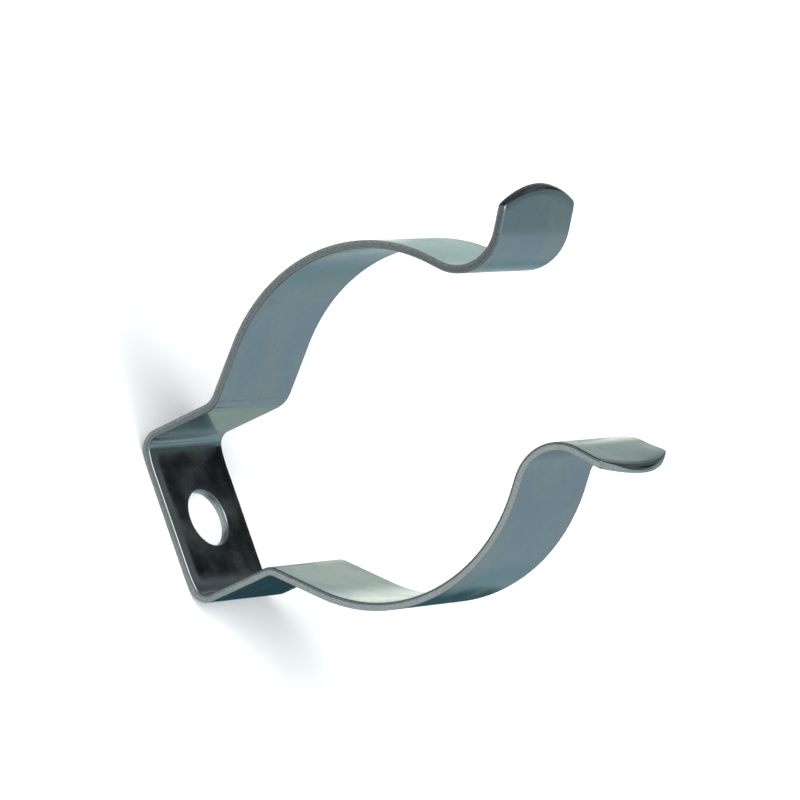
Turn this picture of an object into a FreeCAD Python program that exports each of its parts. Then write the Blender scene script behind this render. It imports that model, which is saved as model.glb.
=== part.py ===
import FreeCAD, Part
import math
import os

# Spring clip for conduit, bent from one strip of spring steel: a flat base with a screw hole,
# two short legs, two round arms that grip the conduit, and two flared lips at the mouth.
# Millimetres and degrees. The base's underside lies on z = 0, the screw hole's axis is Z,
# the mouth opens towards +Z and the strip's width runs along Y.

# Strip
strip_width = 11.5
strip_thickness = 0.75
edge_radius = 0.15           # edges of the inner face, rolled over when the blank is sheared

# Base
base_length = 16.85          # over the outsides of the two legs
base_bend_radius = 1.9       # inside of the bend between base and leg
hole_diameter = 5.4          # screw hole in the middle of the base

# Legs and waist
leg_height = 9.2             # underside to where the middle lines of leg and arm cross
waist_bend_radius = 1.1      # inside of the bend, on the clip's outside
arm_lean = 42.1              # lean of the arm's straight start, from upright

# Arms
seat_radius = 15.9           # inside of the unloaded arms, both on one axis

# Mouth and lips
mouth_gap = 16.5             # narrowest clear width between the arms
mouth_straight = 1.35        # straight between the round arm and the mouth's bend
mouth_bend_radius = 4.1      # inside of the bend, on the clip's outside
lip_lean = 46.5              # lean of the lip, from upright
lip_length = 4.35            # from the mouth's bend to the crown of the lip's end
lip_end_radius = 10.2        # the lip's end is cut to this arc
lip_corner_radius = 0.4

# Middle line of the strip: it is walked from the base's bend to the tip of one lip.
half_thickness = strip_thickness / 2
leg_x = base_length / 2 - half_thickness
base_flat = 2 * (leg_x - half_thickness - base_bend_radius)
seat_middle_radius = seat_radius + half_thickness
waist_middle_radius = waist_bend_radius + half_thickness
mouth_middle_radius = mouth_bend_radius + half_thickness
lean = math.radians(arm_lean)

# The arm's straight start runs from the waist to where it touches the seat's circle.
waist_to_seat = (seat_middle_radius * math.cos(lean) - leg_x) / math.sin(lean)
waist_setback = waist_middle_radius * math.tan(lean / 2)
leg_straight = leg_height - strip_thickness - base_bend_radius - waist_setback
arm_straight = waist_to_seat - waist_setback

# The arm turns inwards until the mouth's bend clears half the mouth's gap.
mouth_center_x = mouth_gap / 2 + strip_thickness + mouth_bend_radius
mouth_reach = seat_middle_radius + mouth_middle_radius
mouth_angle = math.acos(mouth_center_x / math.hypot(mouth_reach, mouth_straight))
mouth_lean = math.degrees(mouth_angle - math.atan2(mouth_straight, mouth_reach))


class StripPen:
    """Draws both faces of the strip in the XZ plane while it walks along the middle line."""

    def __init__(self, x, z, heading):
        self.place = FreeCAD.Vector(x, 0, z)
        self.heading = heading
        self.inner = []
        self.outer = []

    def forward(self):
        angle = math.radians(self.heading)
        return FreeCAD.Vector(math.cos(angle), 0, math.sin(angle))

    def left(self):
        angle = math.radians(self.heading)
        return FreeCAD.Vector(-math.sin(angle), 0, math.cos(angle))

    def face_points(self):
        """Points of the inner and outer face beside the pen: the inside is on its left."""
        offset = self.left() * half_thickness
        return self.place + offset, self.place - offset

    def straight(self, length):
        starts = self.face_points()
        self.place = self.place + self.forward() * length
        ends = self.face_points()
        self.inner.append(Part.LineSegment(starts[0], ends[0]).toShape())
        self.outer.append(Part.LineSegment(starts[1], ends[1]).toShape())

    def bend(self, inside_radius, turn):
        """A bend by its inside radius. A positive turn goes to the left, into the clip."""
        side = math.copysign(1, turn)
        radius = inside_radius + half_thickness
        center = self.place + self.left() * radius * side
        stops = [self.face_points()]
        for _ in range(2):
            self.heading += turn / 2
            self.place = center - self.left() * radius * side
            stops.append(self.face_points())
        self.inner.append(Part.Arc(*[stop[0] for stop in stops]).toShape())
        self.outer.append(Part.Arc(*[stop[1] for stop in stops]).toShape())


def draw_arm():
    """One side of the clip on +X, from the base's bend to the tip of the lip."""
    pen = StripPen(base_flat / 2, half_thickness, 0)
    pen.bend(base_bend_radius, 90)
    pen.straight(leg_straight)
    pen.bend(waist_bend_radius, -arm_lean)
    pen.straight(arm_straight)
    pen.bend(seat_radius, arm_lean + mouth_lean)
    pen.straight(mouth_straight)
    pen.bend(mouth_bend_radius, -(mouth_lean + lip_lean))
    pen.straight(lip_length)
    return pen


def mirrored(shape):
    """The same shape on the clip's other side."""
    return shape.mirror(FreeCAD.Vector(), FreeCAD.Vector(1, 0, 0))


def base_line(z):
    """The flat of the base between its two bends, at one height."""
    ends = [FreeCAD.Vector(x, 0, z) for x in (-base_flat / 2, base_flat / 2)]
    return Part.LineSegment(*ends).toShape()


def inner_line(pen):
    """The strip's inner face, seen edge on."""
    return [base_line(strip_thickness)] + pen.inner + [mirrored(edge) for edge in pen.inner]


def outer_line(pen):
    """The strip's outer face, seen edge on."""
    return [base_line(0)] + pen.outer + [mirrored(edge) for edge in pen.outer]


def bent_strip(pen):
    """The bent strip at its full width, with square ends and no hole."""
    tip = Part.LineSegment(*pen.face_points()).toShape()
    edges = inner_line(pen) + outer_line(pen) + [tip, mirrored(tip)]
    section = Part.Face(Part.Wire(Part.__sortEdges__(edges)))
    section.translate(FreeCAD.Vector(0, -strip_width / 2, 0))
    return section.extrude(FreeCAD.Vector(0, strip_width, 0))


def lip_trim(pen):
    """What is cut off the end of one lip: a block around it, less the disc of the end's arc."""
    sagitta = lip_end_radius - math.sqrt(lip_end_radius ** 2 - (strip_width / 2) ** 2)
    forward = pen.forward()
    normal = pen.left()
    depth = 3 * strip_thickness
    low = pen.place - normal * depth / 2
    disc = Part.makeCylinder(lip_end_radius, depth, low - forward * lip_end_radius, normal)
    corner = low - forward * sagitta - FreeCAD.Vector(0, strip_width, 0)
    block = Part.makeBox(2 * sagitta, 2 * strip_width, depth)
    block.Placement = FreeCAD.Placement(corner, FreeCAD.Rotation(forward, FreeCAD.Vector(), normal, "XZY"))
    return block.cut(disc)


def lip_corners(solid, pen):
    """The short edges at the corners of both lips, through the strip's thickness."""
    corners = []
    for edge in solid.Edges:
        tip_side = edge.CenterOfMass.z > pen.place.z - lip_length
        across = abs(edge.Length - strip_thickness) < strip_thickness / 100
        if tip_side and across and len(edge.Vertexes) == 2:
            corners.append(edge)
    return corners


def rolled_edges(solid, pen):
    """Edges around the inner face, where it meets the strip's sides, ends and hole."""
    inner_face = Part.Compound(inner_line(pen))
    rolled = []
    for edge in solid.Edges:
        point = edge.valueAt((edge.FirstParameter + edge.LastParameter) / 2)
        beside = Part.Vertex(point.x, 0, point.z)
        if inner_face.distToShape(beside)[0] > strip_thickness / 100:
            continue
        faces = solid.ancestorsOfType(edge, Part.Face)
        normals = [face.normalAt(*face.Surface.parameter(point)) for face in faces]
        if normals[0].getAngle(normals[1]) > math.radians(45):
            rolled.append(edge)
    return rolled


def spring_clip():
    pen = draw_arm()
    trim = lip_trim(pen)
    hole_start = FreeCAD.Vector(0, 0, -strip_thickness)
    hole = Part.makeCylinder(hole_diameter / 2, 3 * strip_thickness, hole_start)
    clip = bent_strip(pen).cut([trim, mirrored(trim), hole]).Solids[0]
    clip = clip.makeFillet(lip_corner_radius, lip_corners(clip, pen))
    return clip.makeFillet(edge_radius, rolled_edges(clip, pen))


os.makedirs("parts", exist_ok=True)
clip = spring_clip()
clip.exportStep("parts/spring_clip.step")

seat_height = leg_height + waist_to_seat * math.cos(lean) + seat_middle_radius * math.sin(lean)
print("seat axis height", round(seat_height, 3), "mouth lean", round(mouth_lean, 2))
print("valid", clip.isValid(), "solids", len(clip.Solids), "volume", round(clip.Volume, 2), clip.BoundBox)
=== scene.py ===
import math

import bmesh
import bpy
from mathutils import Matrix, Vector


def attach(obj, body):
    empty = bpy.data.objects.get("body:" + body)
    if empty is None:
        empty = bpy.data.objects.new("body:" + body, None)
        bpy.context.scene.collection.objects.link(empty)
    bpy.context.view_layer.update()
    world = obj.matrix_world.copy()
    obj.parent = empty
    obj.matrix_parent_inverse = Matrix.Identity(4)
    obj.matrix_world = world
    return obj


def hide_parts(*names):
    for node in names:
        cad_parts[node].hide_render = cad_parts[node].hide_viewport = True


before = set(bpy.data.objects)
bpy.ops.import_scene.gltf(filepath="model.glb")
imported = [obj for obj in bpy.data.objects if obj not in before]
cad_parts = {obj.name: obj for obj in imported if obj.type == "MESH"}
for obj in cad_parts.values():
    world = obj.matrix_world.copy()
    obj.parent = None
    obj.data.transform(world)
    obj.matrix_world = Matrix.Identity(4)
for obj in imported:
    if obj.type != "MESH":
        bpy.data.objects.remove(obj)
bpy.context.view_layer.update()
mm = 0.001

# Spring clip: a flat blank is cut first, then bent in five steps from the lips inwards,
# as the press does it. Sizes in millimetres and degrees, the main ones as in the part's source.
clip = {
    "width": 11.5,
    "thickness": 0.75,
    "edgeRoll": 0.15,          # round on the inner face's edges, left by the shear
    "tipRoll": 0.62,           # the same at the crown of a lip's end
    "edgeBreak": 0.04,         # the outer face's edges are almost sharp
    "edgeFall": 0.068,         # the base's inner face slopes down to its sides: drop over fallWidth
    "fallWidth": 1.3,
    "fallRound": 0.4,          # share of that width in which the slope sets in
    "fallEnds": (9.0, 14.0),   # along the blank, the fall fades out between these
    "baseLength": 16.85,
    "baseEnd": 9.0,            # the base's ends curl up on this radius
    "baseEndTurn": 11.0,       # through this angle, and then bend tightly
    "baseBend": 1.2,
    "hole": 5.4,
    "legHeight": 9.2,
    "waistBend": 1.1,
    "armLean": 42.1,
    "seatRadius": 15.9,
    "mouthGap": 16.5,
    "mouthStraight": 1.35,
    "mouthBend": 4.1,
    "lipLean": 46.5,
    "lipLength": 4.35,
    "lipEnd": 10.2,
    "lipCorner": 0.4,
    "lipTrim": {1: (0.0, -0.045), -1: (-0.12, 0.02)},   # each end's change of length and its skew
    "cornerCurl": 0.7,         # the lip on +X is knocked up towards one corner
    "curlPower": 1.5,          # the higher, the nearer to the lip's end
    "leftWaist": 1.0,          # the waist on -X is bent wider by this much
    "leftSeat": -1.44,         # its arm has sprung open
    "leftMouth": 5.14,         # and its lip is bent further out
}
blankMesh = {
    "patchHalf": 4.6,          # half the square of faces that carries the hole
    "patchParts": 20,
    "patchCorner": 225,        # degrees round the hole to the square's first corner
    "straightRow": 0.45,       # length of a row of faces between the bends
    # degrees of turn a row in the bends
    "bendRows": {"BaseEnd": 3.0, "Base": 4.5, "Waist": 4.0, "Seat": 1.8, "Mouth": 3.5},
    "sideLines": (0.3, 0.5, 0.7, 0.84, 1.0, 1.16, 1.35),   # distances in from the sheared sides
    "endLines": (0.76, 0.92, 1.15, 1.5, 1.95, 2.5, 3.1, 3.7),   # and from the lips' ends
    "endFollow": 1.3,          # the higher, the nearer to a lip's end its rows take up the end's arc
    "holeLines": (0.3, 0.55, 0.9, 1.3),   # distances out from the hole's rim
    "support": 0.04,           # holds the flat faces' shading flat beside a round
    "rollParts": 6,
    "wallParts": 5,
}


def developedStrip(waistChange=0.0, seatChange=0.0, mouthChange=0.0):
    # walks half the middle line: each bend's start along the blank, its radius and its turn
    half = clip["thickness"] / 2
    lean = math.radians(clip["armLean"])
    endTurn = math.radians(clip["baseEndTurn"])
    legX = clip["baseLength"] / 2 - half
    endRadius = clip["baseEnd"] + half
    baseRadius = clip["baseBend"] + half
    waistRadius = clip["waistBend"] + waistChange + half
    seatRadius = clip["seatRadius"] + half
    mouthRadius = clip["mouthBend"] + half
    setback = waistRadius * math.tan(lean / 2)
    flat = legX - endRadius * math.sin(endTurn) - baseRadius * (1 - math.sin(endTurn))
    rise = half + endRadius * (1 - math.cos(endTurn)) + baseRadius * math.cos(endTurn)
    armRun = (seatRadius * math.cos(lean) - legX) / math.sin(lean) - setback
    mouthX = clip["mouthGap"] / 2 + clip["thickness"] + clip["mouthBend"]
    reach = seatRadius + mouthRadius
    mouthAngle = math.acos(mouthX / math.hypot(reach, clip["mouthStraight"]))
    mouthLean = mouthAngle - math.atan2(clip["mouthStraight"], reach)
    seatTurn = lean + mouthLean + math.radians(seatChange)
    mouthTurn = mouthLean + math.radians(clip["lipLean"] + mouthChange)
    steps = [
        ("BaseEnd", flat, endRadius, endTurn),
        ("Base", 0.0, baseRadius, math.pi / 2 - endTurn),
        ("Waist", clip["legHeight"] - rise - setback, waistRadius, -lean),
        ("Seat", armRun, seatRadius, seatTurn),
        ("Mouth", clip["mouthStraight"], mouthRadius, -mouthTurn),
    ]
    bends = []
    run = 0.0
    for name, straight, radius, turn in steps:
        run += straight
        bends.append({"name": name, "start": run, "radius": radius, "turn": turn})
        run += radius * abs(turn)
    return bends, run + clip["lipLength"]


bends, halfBlank = developedStrip()
leftBends = developedStrip(clip["leftWaist"], clip["leftSeat"], clip["leftMouth"])[0]
print("blank", round(2 * halfBlank, 2), "mm long, bends at", [round(b["start"], 2) for b in bends])


def alongLines(armBends):
    # lengthways stations of half the blank, up to the start of the lip
    lines = [blankMesh["patchHalf"]]
    for bend in armBends:
        straight = bend["start"] - lines[-1]
        parts = math.ceil(straight / blankMesh["straightRow"])
        lines += [lines[-1] + straight * (k + 1) / parts for k in range(parts)]
        turn = abs(math.degrees(bend["turn"]))
        parts = math.ceil(turn / blankMesh["bendRows"][bend["name"]])
        length = bend["radius"] * abs(bend["turn"])
        lines += [bend["start"] + length * (k + 1) / parts for k in range(parts)]
    return lines


def blankLines():
    # every row is (side, along, None) or, on the lips, (side, None, depth from the end)
    parts = blankMesh["patchParts"]
    step = 2 * blankMesh["patchHalf"] / parts
    middle = [(1, -blankMesh["patchHalf"] + step * k, None) for k in range(1, parts)]
    lip = sorted(blankMesh["endLines"], reverse=True) + ["support", "edge"]
    halves = []
    for side, armBends in ((-1, leftBends), (1, bends)):
        half = [(side, x, None) for x in alongLines(armBends)]
        halves.append(half + [(side, None, d) for d in lip])
    rows = halves[0][::-1] + middle + halves[1]
    patchSide = clip["width"] / 2 - max(blankMesh["sideLines"])
    across = [-patchSide + 2 * patchSide * k / parts for k in range(1, parts)]
    sides = sorted(blankMesh["sideLines"], reverse=True) + ["support", "edge"]
    columns = [(-1, None, d) for d in reversed(sides)]
    columns += [(1, y, None) for y in across]
    columns += [(1, None, d) for d in sides]
    return rows, columns


rows, columns = blankLines()


def edgeDistance(mark, inset):
    if mark == "edge":
        return inset
    if mark == "support":
        return inset + blankMesh["support"]
    return mark


def tipRoll(y):
    # the round at a lip's end, widest at its crown
    crown = 1 - (2 * y / clip["width"]) ** 2
    return clip["edgeRoll"] + (clip["tipRoll"] - clip["edgeRoll"]) * max(0.0, crown)


def roundCorner(x, y, inset):
    # moves a point of the outline onto the round at a lip's corner
    corner = clip["lipCorner"]
    arcCentre = halfBlank - clip["lipEnd"]
    pivotY = clip["width"] / 2 - corner
    pivotX = arcCentre + math.sqrt((clip["lipEnd"] - corner) ** 2 - pivotY ** 2)
    out = Vector((x - pivotX, abs(y) - pivotY))
    lowest = math.atan2(pivotY, pivotX - arcCentre)
    if out.x <= 0 or math.atan2(out.y, out.x) <= lowest:
        return x, y
    out = out.normalized() * (corner - inset)
    return pivotX + out.x, math.copysign(pivotY + out.y, y)


def blankPoint(row, column, share=None):
    # place on the flat blank of one crossing: the outline is drawn in by a share of the
    # inner face's round, or with no share by the outer face's small one
    sideInset = clip["edgeBreak"] if share is None else share * clip["edgeRoll"]
    sideY, y, sideMark = column
    if y is None:
        y = sideY * (clip["width"] / 2 - edgeDistance(sideMark, sideInset))
    sideX, x, endMark = row
    if x is not None:
        return Vector((sideX * x, y))
    endInset = clip["edgeBreak"] if share is None else share * tipRoll(y)
    depth = edgeDistance(endMark, endInset)
    arc = halfBlank - clip["lipEnd"] + math.sqrt((clip["lipEnd"] - depth) ** 2 - y * y)
    follow = max(0.0, 1 - depth / clip["lipLength"]) ** blankMesh["endFollow"]
    x = follow * arc + (1 - follow) * (halfBlank - depth)
    if "edge" in (endMark, sideMark):
        x, y = roundCorner(x, y, sideInset)
    change, skew = clip["lipTrim"][sideX]
    return Vector((sideX * (x + (change + skew * y) * follow), y))


def fallAt(distance):
    # an even slope that sets in along a parabola
    if distance >= clip["fallWidth"]:
        return 0.0
    share = 1 - distance / clip["fallWidth"]
    soft = clip["fallRound"]
    return clip["edgeFall"] * (share - soft / 2 if share > soft else share * share / (2 * soft))


def gridFall(row, column):
    # the lips have it at their ends only, and the base at its sides
    if row[2] is not None:
        return fallAt(edgeDistance(row[2], clip["edgeRoll"]))
    if column[2] is None:
        return 0.0
    start, end = clip["fallEnds"]
    share = min(1.0, max(0.0, (end - abs(row[1])) / (end - start)))
    return share * fallAt(edgeDistance(column[2], clip["edgeRoll"]))


def wallProfile():
    # down the sheared wall from the inner face: (share of the round still drawn in,
    # share of the round gone down, share of the straight wall gone down)
    profile = []
    for k in range(1, blankMesh["rollParts"] + 1):
        angle = math.pi / 2 * k / blankMesh["rollParts"]
        profile.append((1 - math.sin(angle), 1 - math.cos(angle), 0.0))
    for k in range(1, blankMesh["wallParts"] + 1):
        profile.append((0.0, 1.0, k / blankMesh["wallParts"]))
    return profile


def wallHeight(roll, fall, down, wall):
    start = clip["thickness"] / 2 - fall - down * roll
    return start + wall * (clip["edgeBreak"] - clip["thickness"] / 2 - start)


def lipCurl(place):
    # grows along the lip on +X, and with the square of the way to its side on +Y
    past = (place.x - halfBlank) / clip["lipLength"] + 1
    if past <= 0 or place.y <= 0:
        return 0.0
    return clip["cornerCurl"] * past ** clip["curlPower"] * (2 * place.y / clip["width"]) ** 2


def addPoint(mesh, run, place, height, along=0.0):
    point = mesh.verts.new((place.x * mm, place.y * mm, (height + lipCurl(place)) * mm))
    point[run] = along * mm
    return point


def addWall(mesh, marks, loops):
    # skins neighbouring loops of points, and marks what the shear cut below the round
    firstCut = blankMesh["rollParts"] - 1
    for k in range(len(loops) - 1):
        upper, lower = loops[k], loops[k + 1]
        for i in range(len(upper)):
            j = (i + 1) % len(upper)
            face = mesh.faces.new((upper[i], upper[j], lower[j], lower[i]))
            face[marks] = 1 if k >= firstCut else 0


def circlePoint(radius, k, count):
    angle = math.radians(blankMesh["patchCorner"]) + 2 * math.pi * k / count
    return Vector((radius * math.cos(angle), radius * math.sin(angle)))


def loopCells(first, last, low, high):
    # crossings round a block of rows and columns, in order
    cells = [(i, low) for i in range(first, last)]
    cells += [(last, j) for j in range(low, high)]
    cells += [(i, high) for i in range(last, first, -1)]
    cells += [(first, j) for j in range(high, low, -1)]
    return cells


def outlineCells():
    return loopCells(0, len(rows) - 1, 0, len(columns) - 1)


def patchBounds():
    # first and last row, and first and last column, of the square that carries the hole
    parts = blankMesh["patchParts"]
    row = len(alongLines(leftBends)) + len(blankMesh["endLines"]) + 1
    column = len(blankMesh["sideLines"]) + 1
    return row, row + parts, column, column + parts


def holeRings(mesh, run, inset, height, patchRim):
    # rings of points from the hole's rim out to the square's
    count = len(patchRim)
    rings = []
    for distance in (inset, inset + blankMesh["support"], *blankMesh["holeLines"]):
        places = [circlePoint(clip["hole"] / 2 + distance, k, count) for k in range(count)]
        rings.append([addPoint(mesh, run, place, height) for place in places])
    return rings + [patchRim]


def faceSheet(mesh, run, inner):
    # one face of the blank; hands back the points of its outline and of the hole's rim
    share = 1 if inner else None
    inset = clip["edgeRoll"] if inner else clip["edgeBreak"]
    height = clip["thickness"] / 2 if inner else -clip["thickness"] / 2
    grid = []
    for row in rows:
        line = []
        for column in columns:
            fall = gridFall(row, column) if inner else 0.0
            line.append(addPoint(mesh, run, blankPoint(row, column, share), height - fall))
        grid.append(line)
    first, last, low, high = patchBounds()
    quads = []
    for i in range(len(rows) - 1):
        for j in range(len(columns) - 1):
            if not (first <= i < last and low <= j < high):
                quads.append((grid[i][j], grid[i + 1][j], grid[i + 1][j + 1], grid[i][j + 1]))
    patchRim = [grid[i][j] for i, j in loopCells(first, last, low, high)]
    rings = holeRings(mesh, run, inset, height, patchRim)
    for inside, outside in zip(rings, rings[1:]):
        for k in range(len(inside)):
            n = (k + 1) % len(inside)
            quads.append((inside[k], outside[k], outside[n], inside[n]))
    for quad in quads:
        mesh.faces.new(quad if inner else quad[::-1])
    for i in range(first + 1, last):
        for j in range(low + 1, high):
            mesh.verts.remove(grid[i][j])      # nothing is left inside the square
    return [grid[i][j] for i, j in outlineCells()], rings[0]


def shearedLoops(mesh, run, holeCount):
    # loops of points down the sheared wall, round the blank and in the hole
    outside = []
    inHole = []
    for share, down, wall in wallProfile():
        loop = []
        length = 0.0
        before = None
        for i, j in outlineCells():
            place = blankPoint(rows[i], columns[j], share)
            if before is not None:
                length += (place - before).length
            before = place
            roll = clip["edgeRoll"] if rows[i][2] is None else tipRoll(place.y)
            height = wallHeight(roll, gridFall(rows[i], columns[j]), down, wall)
            loop.append(addPoint(mesh, run, place, height, length))
        outside.append(loop)
        radius = clip["hole"] / 2 + share * clip["edgeRoll"]
        height = wallHeight(clip["edgeRoll"], 0.0, down, wall)
        loop = []
        for k in range(holeCount):
            length = 2 * math.pi * radius * k / holeCount
            loop.append(addPoint(mesh, run, circlePoint(radius, k, holeCount), height, length))
        inHole.append(loop)
    return outside, inHole


def flatBlank():
    mesh = bmesh.new()
    run = mesh.verts.layers.float.new("edgeRun")
    marks = mesh.faces.layers.int.new("sheared")
    innerRim, innerHole = faceSheet(mesh, run, True)
    outerRim, outerHole = faceSheet(mesh, run, False)
    outside, inHole = shearedLoops(mesh, run, len(innerHole))
    addWall(mesh, marks, [innerRim, *outside, outerRim])
    addWall(mesh, marks, [loop[::-1] for loop in (innerHole, *inHole, outerHole)])
    bmesh.ops.recalc_face_normals(mesh, faces=mesh.faces)
    for face in mesh.faces:
        face.smooth = True
    blank = bpy.data.meshes.new("clipBlank")
    mesh.to_mesh(blank)
    mesh.free()
    print("blank mesh", len(blank.vertices), "points", len(blank.polygons), "faces")
    return blank


# Small helpers for node trees
def addNode(tree, kind, **settings):
    node = tree.nodes.new(kind)
    for name, value in settings.items():
        setattr(node, name, value)
    return node


def plug(tree, value, socket):
    if isinstance(value, bpy.types.NodeSocket):
        tree.links.new(value, socket)
    elif value is not None:
        socket.default_value = value


def addMath(tree, operation, a, b=None, c=None):
    node = addNode(tree, "ShaderNodeMath", operation=operation)
    for socket, value in zip(node.inputs, (a, b, c)):
        plug(tree, value, socket)
    return node.outputs[0]


def addSocket(tree, name, kind, direction="INPUT"):
    tree.interface.new_socket(name, in_out=direction, socket_type=kind)


def pressBendGroup():
    # bends everything past Start round a former, the way a press folds the blank
    tree = bpy.data.node_groups.new("PressBend", "GeometryNodeTree")
    for name in ("Along", "Height", "Start", "Radius", "Turn"):
        addSocket(tree, name, "NodeSocketFloat")
    for name in ("Along", "Height"):
        addSocket(tree, name, "NodeSocketFloat", "OUTPUT")
    given = addNode(tree, "NodeGroupInput").outputs
    made = addNode(tree, "NodeGroupOutput").inputs
    side = addMath(tree, "SIGN", given["Turn"])
    turn = addMath(tree, "ABSOLUTE", given["Turn"])
    height = addMath(tree, "MULTIPLY", given["Height"], side)
    past = addMath(tree, "SUBTRACT", given["Along"], given["Start"])
    length = addMath(tree, "MULTIPLY", given["Radius"], turn)
    inBend = addMath(tree, "MAXIMUM", addMath(tree, "MINIMUM", past, length), 0.0)
    angle = addMath(tree, "DIVIDE", inBend, given["Radius"])
    rest = addMath(tree, "MAXIMUM", addMath(tree, "SUBTRACT", past, length), 0.0)
    before = addMath(tree, "MINIMUM", given["Along"], given["Start"])
    arm = addMath(tree, "SUBTRACT", given["Radius"], height)
    sine = addMath(tree, "SINE", angle)
    cosine = addMath(tree, "COSINE", angle)
    along = addMath(tree, "MULTIPLY_ADD", arm, sine, before)
    along = addMath(tree, "MULTIPLY_ADD", rest, cosine, along)
    drop = addMath(tree, "MULTIPLY", arm, cosine)
    raised = addMath(tree, "SUBTRACT", given["Radius"], drop)
    raised = addMath(tree, "MULTIPLY_ADD", rest, sine, raised)
    plug(tree, along, made["Along"])
    plug(tree, addMath(tree, "MULTIPLY", raised, side), made["Height"])
    return tree


def clipInputs():
    values = {"Thickness": clip["thickness"] * mm}
    for side, armBends in (("Right", bends), ("Left", leftBends)):
        for bend in armBends:
            name = side + " " + bend["name"]
            values[name + " Start"] = bend["start"] * mm
            values[name + " Radius"] = bend["radius"] * mm
            values[name + " Turn"] = bend["turn"]
    return values


def clipTree(plate, cutEdge):
    tree = bpy.data.node_groups.new("SpringClipBends", "GeometryNodeTree")
    addSocket(tree, "Geometry", "NodeSocketGeometry")
    addSocket(tree, "Geometry", "NodeSocketGeometry", "OUTPUT")
    for name in clipInputs():
        addSocket(tree, name, "NodeSocketFloat")
    given = addNode(tree, "NodeGroupInput").outputs
    made = addNode(tree, "NodeGroupOutput").inputs
    position = addNode(tree, "GeometryNodeInputPosition").outputs[0]
    keep = addNode(tree, "GeometryNodeStoreNamedAttribute", data_type="FLOAT_VECTOR", domain="POINT")
    keep.inputs["Name"].default_value = "blankPlace"        # the finish follows the flat blank
    plug(tree, given["Geometry"], keep.inputs["Geometry"])
    plug(tree, position, keep.inputs["Value"])
    parts = addNode(tree, "ShaderNodeSeparateXYZ")
    plug(tree, position, parts.inputs[0])
    onLeft = addNode(tree, "FunctionNodeCompare", data_type="FLOAT", operation="LESS_THAN")
    plug(tree, parts.outputs["X"], onLeft.inputs[0])
    onLeft.inputs[1].default_value = 0.0
    along = addMath(tree, "ABSOLUTE", parts.outputs["X"])
    height = parts.outputs["Z"]
    former = pressBendGroup()
    for bend in reversed(bends):
        step = addNode(tree, "GeometryNodeGroup", node_tree=former, label=bend["name"])
        plug(tree, along, step.inputs["Along"])
        plug(tree, height, step.inputs["Height"])
        for size in ("Start", "Radius", "Turn"):
            pick = addNode(tree, "GeometryNodeSwitch", input_type="FLOAT")
            plug(tree, onLeft.outputs[0], pick.inputs["Switch"])
            plug(tree, given["Right " + bend["name"] + " " + size], pick.inputs["False"])
            plug(tree, given["Left " + bend["name"] + " " + size], pick.inputs["True"])
            plug(tree, pick.outputs[0], step.inputs[size])
        along, height = step.outputs["Along"], step.outputs["Height"]
    place = addNode(tree, "ShaderNodeCombineXYZ")
    side = addMath(tree, "SIGN", parts.outputs["X"])
    plug(tree, addMath(tree, "MULTIPLY", along, side), place.inputs["X"])
    plug(tree, parts.outputs["Y"], place.inputs["Y"])
    plug(tree, addMath(tree, "MULTIPLY_ADD", given["Thickness"], 0.5, height), place.inputs["Z"])
    move = addNode(tree, "GeometryNodeSetPosition")
    plug(tree, keep.outputs["Geometry"], move.inputs["Geometry"])
    plug(tree, place.outputs[0], move.inputs["Position"])
    whole = addNode(tree, "GeometryNodeRealizeInstances")
    plug(tree, move.outputs[0], whole.inputs[0])
    coat = addNode(tree, "GeometryNodeSetMaterial")
    coat.inputs["Material"].default_value = plate
    plug(tree, whole.outputs[0], coat.inputs["Geometry"])
    cutMark = addNode(tree, "GeometryNodeInputNamedAttribute", data_type="INT")
    cutMark.inputs["Name"].default_value = "sheared"
    cut = addNode(tree, "GeometryNodeSetMaterial")
    cut.inputs["Material"].default_value = cutEdge
    plug(tree, coat.outputs[0], cut.inputs["Geometry"])
    plug(tree, cutMark.outputs["Attribute"], cut.inputs["Selection"])
    plug(tree, cut.outputs[0], made["Geometry"])
    return tree


def bentClip(plate, cutEdge):
    flat = bpy.data.objects.new("springClipFlat", flatBlank())
    bpy.context.scene.collection.objects.link(flat)
    tree = clipTree(plate, cutEdge)
    values = clipInputs()
    press = flat.modifiers.new("press", "NODES")
    press.node_group = tree
    for item in tree.interface.items_tree:
        if item.in_out == "INPUT" and item.name in values:
            press[item.identifier] = values[item.name]
    shaped = flat.evaluated_get(bpy.context.evaluated_depsgraph_get())
    bent = bpy.data.meshes.new_from_object(shaped)
    bent.name = "springClip"
    bpy.data.objects.remove(flat)
    piece = bpy.data.objects.new("springClip", bent)
    bpy.context.scene.collection.objects.link(piece)
    print("bent clip", len(bent.polygons), "faces,", len(bent.materials), "materials")
    return piece


# More helpers, for the finishes
def remap(tree, value, low, high, toLow=0.0, toHigh=1.0):
    node = addNode(tree, "ShaderNodeMapRange", interpolation_type="SMOOTHSTEP")
    for socket, given in zip(node.inputs, (value, low, high, toLow, toHigh)):
        plug(tree, given, socket)
    return node.outputs[0]


def colour(value):
    return (*value, 1) if isinstance(value, tuple) else value


def mixColours(tree, factor, first, second, blend="MIX"):
    # in this mode the colours are the node's sockets 6 and 7, and its output 2
    node = addNode(tree, "ShaderNodeMix", data_type="RGBA", blend_type=blend)
    plug(tree, factor, node.inputs[0])
    plug(tree, colour(first), node.inputs[6])
    plug(tree, colour(second), node.inputs[7])
    return node.outputs[2]


def evenGrey(tree, value):
    node = addNode(tree, "ShaderNodeCombineColor")
    for socket in node.inputs:
        plug(tree, value, socket)
    return node.outputs[0]


def addUp(tree, terms, start=0.0):
    # sums (value, weight) pairs
    total = start
    for value, weight in terms:
        total = addMath(tree, "MULTIPLY_ADD", value, weight, total)
    return total


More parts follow.
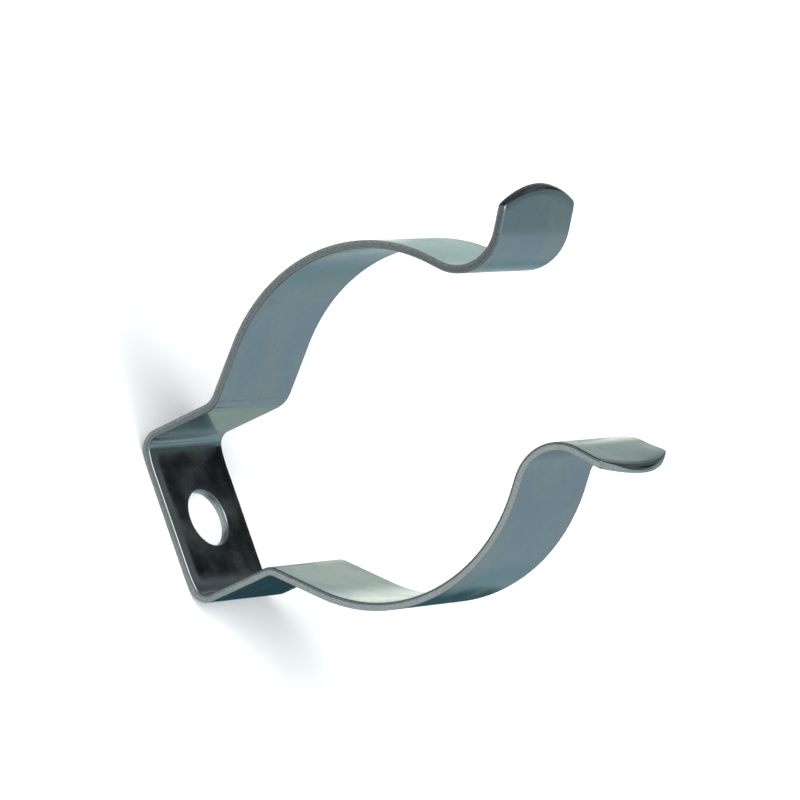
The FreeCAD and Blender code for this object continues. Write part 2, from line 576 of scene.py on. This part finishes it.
def grainNoise(tree, place, size, turn=0.0, detail=2.0, seed=0.0):
    # noise with grains of this size in millimetres, turned on the strip
    mapping = addNode(tree, "ShaderNodeMapping", vector_type="TEXTURE")
    plug(tree, place, mapping.inputs["Vector"])
    mapping.inputs["Location"].default_value = (seed, seed, seed)
    mapping.inputs["Rotation"].default_value = (0, 0, math.radians(turn))
    mapping.inputs["Scale"].default_value = size
    noise = addNode(tree, "ShaderNodeTexNoise")
    plug(tree, mapping.outputs[0], noise.inputs["Vector"])
    noise.inputs["Scale"].default_value = 1.0
    noise.inputs["Detail"].default_value = detail
    return noise.outputs[0]


def hypotenuse(tree, a, b):
    square = addMath(tree, "MULTIPLY", a, a)
    return addMath(tree, "SQRT", addMath(tree, "MULTIPLY_ADD", b, b, square))


def attributeMm(tree, name, output):
    # a place or a run kept on the mesh, in millimetres
    kept = addNode(tree, "ShaderNodeAttribute", attribute_name=name).outputs[output]
    if output == "Fac":
        return addMath(tree, "MULTIPLY", kept, 1 / mm)
    scaled = addNode(tree, "ShaderNodeVectorMath", operation="SCALE")
    plug(tree, kept, scaled.inputs[0])
    scaled.inputs["Scale"].default_value = 1 / mm
    return scaled.outputs[0]


def addBump(tree, height, shader):
    # the height is in millimetres
    bump = addNode(tree, "ShaderNodeBump")
    bump.inputs["Strength"].default_value = 1.0
    bump.inputs["Distance"].default_value = mm
    plug(tree, height, bump.inputs["Height"])
    plug(tree, bump.outputs[0], shader.inputs["Normal"])


def newMaterial(name):
    material = bpy.data.materials.new(name)
    material.use_nodes = True
    return material, material.node_tree


def metal(name):
    material, tree = newMaterial(name)
    shader = tree.nodes["Principled BSDF"]
    shader.inputs["Metallic"].default_value = 1.0
    print("finish", name)
    return material, tree, shader


# Bright zinc with a thin blue passivation, on cold-rolled strip. A layer of noise has the size
# of its grains in millimetres, its turn on the strip in degrees, its detail and its seed.
zinc = {
    "blue": (0.50, 0.565, 0.605),
    "green": (0.56, 0.60, 0.585),
    "clouds": {"size": (6.0, 4.5, 7.0), "turn": 8, "detail": 3.0, "seed": 5.0},
    "haze": {"size": (4.2, 3.2, 3.0), "turn": 30, "detail": 1.5, "seed": 27.0},
    "mottle": {"size": (0.8, 0.75, 0.7), "detail": 3.0, "seed": 11.0},
    "specks": {"size": (0.24, 0.2, 0.2), "detail": 1.0, "seed": 31.0},
    "grain": {"size": (7.0, 0.3, 1.0), "seed": 2.0},
    "wave": {"size": (4.0, 3.0, 3.0), "turn": 20, "detail": 1.0, "seed": 17.0},
    "greenSpan": (0.35, 0.65),         # the noise where each starts, and where it is full
    "hazeSpan": (0.42, 0.7),
    "speckSpan": (0.72, 0.8),
    "mottleSpan": (0.25, 0.75),
    "mottleShade": (0.97, 1.02),
    "speckShade": 0.3,
    "edgeBand": (1.2, 0.1),            # distances from a rim where it starts, and where it is full
    "wearBand": (0.46, 0.16),
    "wearRagged": 0.25,                # how far the mottle shifts the wear
    "rough": 0.04,
    "cloudRough": 0.16,
    "hazeRough": 0.11,
    "mottleRough": 0.09,
    "scratchRough": 0.10,
    "edgeRough": 0.04,
    "wearRough": 0.03,
    "waveHeight": 0.025,
    "mottleHeight": 0.0008,
    "grainHeight": 0.00012,
    "scratchHeight": 0.0006,
    # scratches: turn on the strip, length, spacing across, seed
    "scratches": [(12, 4.0, 0.5, 3.1), (-38, 2.6, 0.5, 8.7), (71, 2.2, 0.45, 14.2), (-79, 3.2, 0.55, 21.9)],
    "scratchDepth": 3.0,               # the same through the sheet
    "scratchLine": (0.028, 0.004),     # how far the noise is off its middle
    "scratchSpots": {"size": (1.8, 1.2, 2.0), "detail": 1.0},
    "spotSpan": (0.57, 0.67),
    "spotSeed": 40,
}


def rimDistance(tree, place):
    # from the nearest sheared side, lip end or hole rim
    parts = addNode(tree, "ShaderNodeSeparateXYZ")
    plug(tree, place, parts.inputs[0])
    x = addMath(tree, "ABSOLUTE", parts.outputs["X"])
    y = addMath(tree, "ABSOLUTE", parts.outputs["Y"])
    side = addMath(tree, "SUBTRACT", clip["width"] / 2, y)
    fromHole = addMath(tree, "SUBTRACT", hypotenuse(tree, x, y), clip["hole"] / 2)
    past = addMath(tree, "SUBTRACT", x, halfBlank - clip["lipEnd"])
    fromTip = addMath(tree, "SUBTRACT", clip["lipEnd"], hypotenuse(tree, past, y))
    onLip = addMath(tree, "GREATER_THAN", x, halfBlank - clip["lipLength"])
    tip = addMath(tree, "MULTIPLY_ADD", addMath(tree, "SUBTRACT", 1.0, onLip), halfBlank, fromTip)
    return addMath(tree, "MINIMUM", addMath(tree, "MINIMUM", side, fromHole), tip)


def fineScratches(tree, place):
    # thin lines where a long drawn noise crosses its middle, kept only here and there
    total = None
    for turn, length, spacing, seed in zinc["scratches"]:
        lines = grainNoise(tree, place, (length, spacing, zinc["scratchDepth"]), turn, 0.0, seed)
        gap = addMath(tree, "ABSOLUTE", addMath(tree, "SUBTRACT", lines, 0.5))
        line = remap(tree, gap, *zinc["scratchLine"])
        spots = grainNoise(tree, place, **zinc["scratchSpots"], turn=turn, seed=seed + zinc["spotSeed"])
        line = addMath(tree, "MULTIPLY", line, remap(tree, spots, *zinc["spotSpan"]))
        total = line if total is None else addMath(tree, "MAXIMUM", total, line)
    return total


def zincPlate():
    material, tree, shader = metal("zincPlate")
    place = attributeMm(tree, "blankPlace", "Vector")
    clouds = grainNoise(tree, place, **zinc["clouds"])
    haze = remap(tree, grainNoise(tree, place, **zinc["haze"]), *zinc["hazeSpan"])
    mottle = grainNoise(tree, place, **zinc["mottle"])
    specks = remap(tree, grainNoise(tree, place, **zinc["specks"]), *zinc["speckSpan"])
    grain = grainNoise(tree, place, **zinc["grain"])
    wave = grainNoise(tree, place, **zinc["wave"])
    scratch = fineScratches(tree, place)
    fromRim = rimDistance(tree, place)
    edge = remap(tree, fromRim, *zinc["edgeBand"])
    worn = remap(tree, addUp(tree, [(mottle, zinc["wearRagged"])], fromRim), *zinc["wearBand"])
    tint = mixColours(tree, remap(tree, clouds, *zinc["greenSpan"]), zinc["blue"], zinc["green"])
    shade = remap(tree, mottle, *zinc["mottleSpan"], *zinc["mottleShade"])
    shade = addMath(tree, "MULTIPLY", shade, addUp(tree, [(specks, -zinc["speckShade"])], 1.0))
    plug(tree, mixColours(tree, 1.0, tint, evenGrey(tree, shade), "MULTIPLY"), shader.inputs["Base Color"])
    rough = addUp(tree, [(clouds, zinc["cloudRough"]), (haze, zinc["hazeRough"]),
                         (mottle, zinc["mottleRough"]), (scratch, zinc["scratchRough"]),
                         (edge, zinc["edgeRough"]), (worn, zinc["wearRough"])],
                  zinc["rough"] - zinc["mottleRough"] / 2)
    plug(tree, rough, shader.inputs["Roughness"])
    height = addUp(tree, [(wave, zinc["waveHeight"]), (mottle, zinc["mottleHeight"]),
                          (grain, zinc["grainHeight"]), (scratch, -zinc["scratchHeight"])])
    addBump(tree, height, shader)
    return material


# Sheared edge: burnished beside the inner face, torn and gritty towards the outer one.
# The values with Along are shares of half the blank, between which a change sets in.
sheared = {
    "burnished": (0.41, 0.42, 0.42),
    "torn": (0.60, 0.61, 0.60),
    "grit": (0.82, 0.82, 0.80),
    "streaks": {"size": (0.09, 1.2, 1.0), "seed": 4.0},
    "grains": {"size": (0.16, 0.12, 0.14), "seed": 9.0},
    "ragged": {"size": (0.8, 3.0, 1.0), "detail": 3.0, "seed": 13.0},
    "pits": {"size": (0.16, 0.12, 0.2), "seed": 23.0},
    "tornDepth": 0.22,         # how far up the torn part reaches at the strip's -X end
    "tornGain": 0.3,           # and how much further at its +X end
    "tornAlong": (-1 / 2, 1 / 2),
    "tornRagged": 0.3,
    "tornBorder": (-0.04, 0.06),
    "gritSpan": (0.5, 0.7),
    "streakSpan": (0.3, 0.8),
    "streakTint": 0.35,
    "paintedShadeAtLip": 0.74,          # painted shade: the shear is darker towards the lip on -X
    "endAlong": (-0.9, -0.65),
    "paintedLightOnArm": 1.25,          # painted light: brighter along the arm on +X
    "armAlong": (0, 1 / 3),
    "paintedLightInHole": 1.45,         # painted light: brighter in the punched hole
    "holeBand": (0.2, 0.7),    # out from the hole's rim
    "paintedShadeByRoll": 0.5,          # painted shade: a dark reflection line beside the rolled edge of the arm on +X
    "rollAlong": (1 / 6, 1 / 4),
    "rollBand": 0.13,
    "pitSpan": (0.49, 0.63),
    "pitShade": 0.5,           # depth of the pits' shade at -X
    "pitFade": 0.4,            # share of it that is left at +X
    "pitAlong": (-1 / 2, 1 / 4),
    "rough": 0.34,
    "tornRough": 0.16,
    "streakRough": 0.1,
    "streakHeight": 0.004,
    "gritHeight": 0.006,
}


def alongStrip(tree, x, span, start, end):
    # changes from the start value to the end value over a span of half the blank
    return remap(tree, x, span[0] * halfBlank, span[1] * halfBlank, start, end)


def paintedLightAndPits(tree, x, y, up, pits):
    # painted shade and painted light along the shear, times the real pits' own shade, multiplied together
    nearRim, farFromRim = [clip["hole"] / 2 + out for out in sheared["holeBand"]]
    rollStart = clip["thickness"] - clip["edgeRoll"]
    besideRoll = remap(tree, up, rollStart - sheared["rollBand"], rollStart)
    onArm = alongStrip(tree, x, sheared["rollAlong"], 0.0, -sheared["paintedShadeByRoll"])
    shade = alongStrip(tree, x, sheared["endAlong"], sheared["paintedShadeAtLip"], 1.0)
    for other in (
        alongStrip(tree, x, sheared["armAlong"], 1.0, sheared["paintedLightOnArm"]),
        remap(tree, hypotenuse(tree, x, y), nearRim, farFromRim, sheared["paintedLightInHole"], 1.0),
        addMath(tree, "MULTIPLY_ADD", besideRoll, onArm, 1.0),
        addUp(tree, [(pits, -sheared["pitShade"])], 1.0),
    ):
        shade = addMath(tree, "MULTIPLY", shade, other)
    return shade


def shearedEdge():
    material, tree, shader = metal("shearedEdge")
    parts = addNode(tree, "ShaderNodeSeparateXYZ")
    plug(tree, attributeMm(tree, "blankPlace", "Vector"), parts.inputs[0])
    x, y = parts.outputs["X"], parts.outputs["Y"]
    up = addMath(tree, "ADD", parts.outputs["Z"], clip["thickness"] / 2)     # from the outer face
    onEdge = addNode(tree, "ShaderNodeCombineXYZ")
    plug(tree, attributeMm(tree, "edgeRun", "Fac"), onEdge.inputs["X"])
    plug(tree, up, onEdge.inputs["Y"])
    place = onEdge.outputs[0]
    streaks = grainNoise(tree, place, **sheared["streaks"])
    grains = grainNoise(tree, place, **sheared["grains"])
    ragged = grainNoise(tree, place, **sheared["ragged"])
    pits = remap(tree, grainNoise(tree, place, **sheared["pits"]), *sheared["pitSpan"])
    fade = alongStrip(tree, x, sheared["pitAlong"], 1.0, sheared["pitFade"])
    pits = addMath(tree, "MULTIPLY", pits, fade)
    gain = alongStrip(tree, x, sheared["tornAlong"], 0.0, sheared["tornGain"])
    reach = addMath(tree, "ADD", gain, sheared["tornDepth"] - sheared["tornRagged"] / 2)
    reach = addUp(tree, [(ragged, sheared["tornRagged"])], reach)
    torn = remap(tree, addMath(tree, "SUBTRACT", reach, up), *sheared["tornBorder"])
    bright = addMath(tree, "MULTIPLY", remap(tree, grains, *sheared["gritSpan"]), torn)
    streaked = remap(tree, streaks, *sheared["streakSpan"], 0.0, sheared["streakTint"])
    tint = mixColours(tree, torn, sheared["burnished"], sheared["torn"])
    tint = mixColours(tree, streaked, tint, sheared["grit"])
    tint = mixColours(tree, bright, tint, sheared["grit"])
    shade = evenGrey(tree, paintedLightAndPits(tree, x, y, up, pits))
    plug(tree, mixColours(tree, 1.0, tint, shade, "MULTIPLY"), shader.inputs["Base Color"])
    rough = addUp(tree, [(torn, sheared["tornRough"]), (streaks, sheared["streakRough"])],
                  sheared["rough"] - sheared["streakRough"] / 2)
    plug(tree, rough, shader.inputs["Roughness"])
    rubble = addMath(tree, "MULTIPLY", grains, torn)
    addBump(tree, addUp(tree, [(streaks, sheared["streakHeight"]), (rubble, sheared["gritHeight"]),
                               (pits, -sheared["streakHeight"])]), shader)
    return material


springClip = bentClip(zincPlate(), shearedEdge())
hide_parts("spring_clip")
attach(springClip, "root")

# Stage
studio = {
    "floorColour": (0.93, 0.94, 0.94),
    "floorRough": 0.9,
    "floorSize": 6.0,
    "backdrop": (0.92, 0.93, 0.93),        # what the camera sees past the floor
    "room": (0.30, 0.385, 0.43),
    # softboxes and dark flags round the clip: way to its middle, angle where it
    # starts to fade, angle where it is gone, colour
    "patches": [
        ((0.0, -0.2, 1.0), 25, 60, (0.62, 0.64, 0.65)),
        ((-0.17, -0.83, -0.53), 25, 55, (0.37, 0.42, 0.42)),
        ((-0.53, 0.83, -0.16), 8, 20, (0.30, 0.38, 0.36)),
        ((0.33, 0.83, -0.445), 0, 14, (0.205, 0.325, 0.35)),
        ((-0.143, 0.833, -0.534), 0, 18, (0.49, 0.61, 0.53)),
        ((-0.377, 0.833, -0.404), 0, 23, (1.04, 1.12, 1.0)),
        ((0.277, 0.833, 0.479), 6, 20, (0.15, 0.23, 0.225)),
        ((-0.453, 0.833, 0.317), 13, 24, (0.11, 0.115, 0.12)),
        ((-0.35, 0.45, 0.82), 22, 34, (0.06, 0.06, 0.065)),
        ((0.23, 0.66, 0.72), 11, 19, (0.06, 0.065, 0.07)),
        ((-0.80, 0.40, 0.42), 14, 24, (0.06, 0.065, 0.07)),
        ((-0.14, 0.80, 0.58), 7, 17, (0.165, 0.18, 0.18)),
        ((-0.0925, 0.8746, 0.476), 7.5, 14, (0.012, 0.013, 0.015)),
        ((-0.19, 0.975, -0.10), 3, 14, (0.06, 0.065, 0.07)),
        ((-0.164, -0.54, 0.82), 14, 26, (2.4, 2.4, 2.4)),
        ((0.79, -0.48, 0.365), 8, 22, (0.08, 0.085, 0.09)),
        ((-0.95, -0.15, 0.15), 25, 38, (0.03, 0.033, 0.036)),
        ((-0.83, 0.17, -0.53), 18, 34, (0.05, 0.055, 0.06)),
        ((0.93, -0.34, -0.13), 12, 26, (0.09, 0.10, 0.105)),
        ((0.83, -0.17, -0.53), 12, 28, (0.09, 0.10, 0.105)),
    ],
    # cards with soft borders that only the clip's mirror image shows: low and high corner in
    # millimetres, the spans where each is full, how far past them it fades, and its colour
    "cards": [
        ("backCard", (-18, 0, -1), (10, 36, -1),
         {"X": (-11, 2), "Y": (8, 24)}, 7.0, (0.30, 0.38, 0.35)),
        # painted shadow: the next two dark cards stand for a table's shade near the leg and the arm, seen
        # only in the mirror image
        ("legShadowCard", (4, -10, -2), (18, 30, -2),
         {"X": (8.5, 12.5), "Y": (-4, 23)}, 2.5, (0.024, 0.068, 0.078)),
        ("armShadowCard", (7, 10, 8), (29, 37, 8),
         {"X": (14, 22), "Y": (17, 30)}, 7.0, (0.045, 0.10, 0.118)),
        ("leftCard", (-30, 15, 18), (-12, 15, 48),
         {"X": (-25, -17), "Z": (25, 38)}, 4.5, (0.52, 0.66, 0.63)),
        ("lipCard", (0, 9.5, 20), (18, 9.5, 46),
         {"X": (3, 10), "Z": (26, 38)}, 2.2, (0.50, 0.565, 0.535)),
    ],
    # place and width in metres, watts
    "lights": [("keyLight", (-0.10, -0.33, 0.5), 0.85, 3.6), ("fillLight", (0.45, 0.1, 0.5), 0.9, 3.6)],
    "lightAim": (0, 0, 0.02),
}


def flatSheet(name, low, high):
    # a rectangle along X and along Y or Z, between two corners
    corners = [low, (high[0], low[1], low[2]), high, (low[0], high[1], high[2])]
    mesh = bpy.data.meshes.new(name)
    mesh.from_pydata(corners, [], [(0, 1, 2, 3)])
    sheet = bpy.data.objects.new(name, mesh)
    bpy.context.scene.collection.objects.link(sheet)
    return sheet


def paleFloor():
    half = studio["floorSize"] / 2
    floor = flatSheet("floor", (-half, -half, 0), (half, half, 0))
    material, tree = newMaterial("paleFloor")
    shader = tree.nodes["Principled BSDF"]
    shader.inputs["Base Color"].default_value = colour(studio["floorColour"])
    shader.inputs["Roughness"].default_value = studio["floorRough"]
    shader.inputs["Specular IOR Level"].default_value = 0.0
    floor.data.materials.append(material)
    floor.visible_glossy = False


def softBand(tree, value, span, fade):
    # one inside the span, falling to nothing over the fade on both sides
    middle, half = (span[0] + span[1]) / 2, (span[1] - span[0]) / 2
    off = addMath(tree, "ABSOLUTE", addMath(tree, "SUBTRACT", value, middle * mm))
    return remap(tree, off, (half + fade) * mm, half * mm)


def mirrorCard(name, low, high, spans, fade, light):
    card = flatSheet(name, Vector(low) * mm, Vector(high) * mm)
    material, tree = newMaterial(name)
    parts = addNode(tree, "ShaderNodeSeparateXYZ")
    plug(tree, addNode(tree, "ShaderNodeTexCoord").outputs["Object"], parts.inputs[0])
    bands = [softBand(tree, parts.outputs[axis], span, fade) for axis, span in spans.items()]
    share = addMath(tree, "MULTIPLY", *bands)
    glow = addNode(tree, "ShaderNodeEmission")
    glow.inputs["Color"].default_value = colour(light)
    soft = addNode(tree, "ShaderNodeMixShader")
    plug(tree, share, soft.inputs[0])
    plug(tree, addNode(tree, "ShaderNodeBsdfTransparent").outputs[0], soft.inputs[1])
    plug(tree, glow.outputs[0], soft.inputs[2])
    plug(tree, soft.outputs[0], tree.nodes["Material Output"].inputs["Surface"])
    card.data.materials.append(material)
    card.visible_camera = False
    card.visible_diffuse = False
    card.visible_shadow = False
    card.visible_transmission = False


def studioWorld():
    world = bpy.data.worlds.new("studio")
    bpy.context.scene.world = world
    world.use_nodes = True
    tree = world.node_tree
    way = addNode(tree, "ShaderNodeTexCoord").outputs["Generated"]
    seen = studio["room"]
    for middle, full, gone, light in studio["patches"]:
        toward = addNode(tree, "ShaderNodeVectorMath", operation="DOT_PRODUCT")
        plug(tree, way, toward.inputs[0])
        toward.inputs[1].default_value = Vector(middle).normalized()
        angle = addMath(tree, "ARCCOSINE", toward.outputs["Value"])
        share = remap(tree, angle, math.radians(gone), math.radians(full))
        seen = mixColours(tree, share, seen, light)
    direct = addNode(tree, "ShaderNodeLightPath").outputs["Is Camera Ray"]
    seen = mixColours(tree, direct, seen, studio["backdrop"])
    plug(tree, seen, tree.nodes["Background"].inputs["Color"])


def softLight(name, place, size, power):
    data = bpy.data.lights.new(name, "AREA")
    data.shape = "DISK"
    data.size = size
    data.energy = power
    light = bpy.data.objects.new(name, data)
    light.visible_glossy = False
    light.location = place
    aim = Vector(studio["lightAim"]) - light.location
    light.rotation_euler = aim.to_track_quat("-Z", "Y").to_euler()
    bpy.context.scene.collection.objects.link(light)


paleFloor()
for card in studio["cards"]:
    mirrorCard(*card)
studioWorld()
for light in studio["lights"]:
    softLight(*light)

# Camera, turned on its side as the photograph has the clip
view = {
    "aim": (-2.188, 0.338, 24.649),
    "azimuth": 11.873,        # from -Y towards +X
    "elevation": 32.015,
    "roll": -64.249,
    "distance": 555.12,
    "lens": 275.88,
    "sensor": 36,
}


def addCamera():
    azimuth, elevation = math.radians(view["azimuth"]), math.radians(view["elevation"])
    back = Vector((math.sin(azimuth) * math.cos(elevation),
                   -math.cos(azimuth) * math.cos(elevation), math.sin(elevation)))
    data = bpy.data.cameras.new("camera")
    data.sensor_width = view["sensor"]
    data.lens = view["lens"]
    camera = bpy.data.objects.new("camera", data)
    turn = back.to_track_quat("Z", "Y").to_matrix().to_4x4()
    roll = Matrix.Rotation(math.radians(-view["roll"]), 4, "Z")
    place = Matrix.Translation(Vector(view["aim"]) * mm + back * view["distance"] * mm)
    camera.matrix_world = place @ turn @ roll
    bpy.context.scene.collection.objects.link(camera)
    bpy.context.scene.camera = camera


addCamera()
bpy.context.scene.view_settings.view_transform = "Standard"
print("stage, light and camera set")
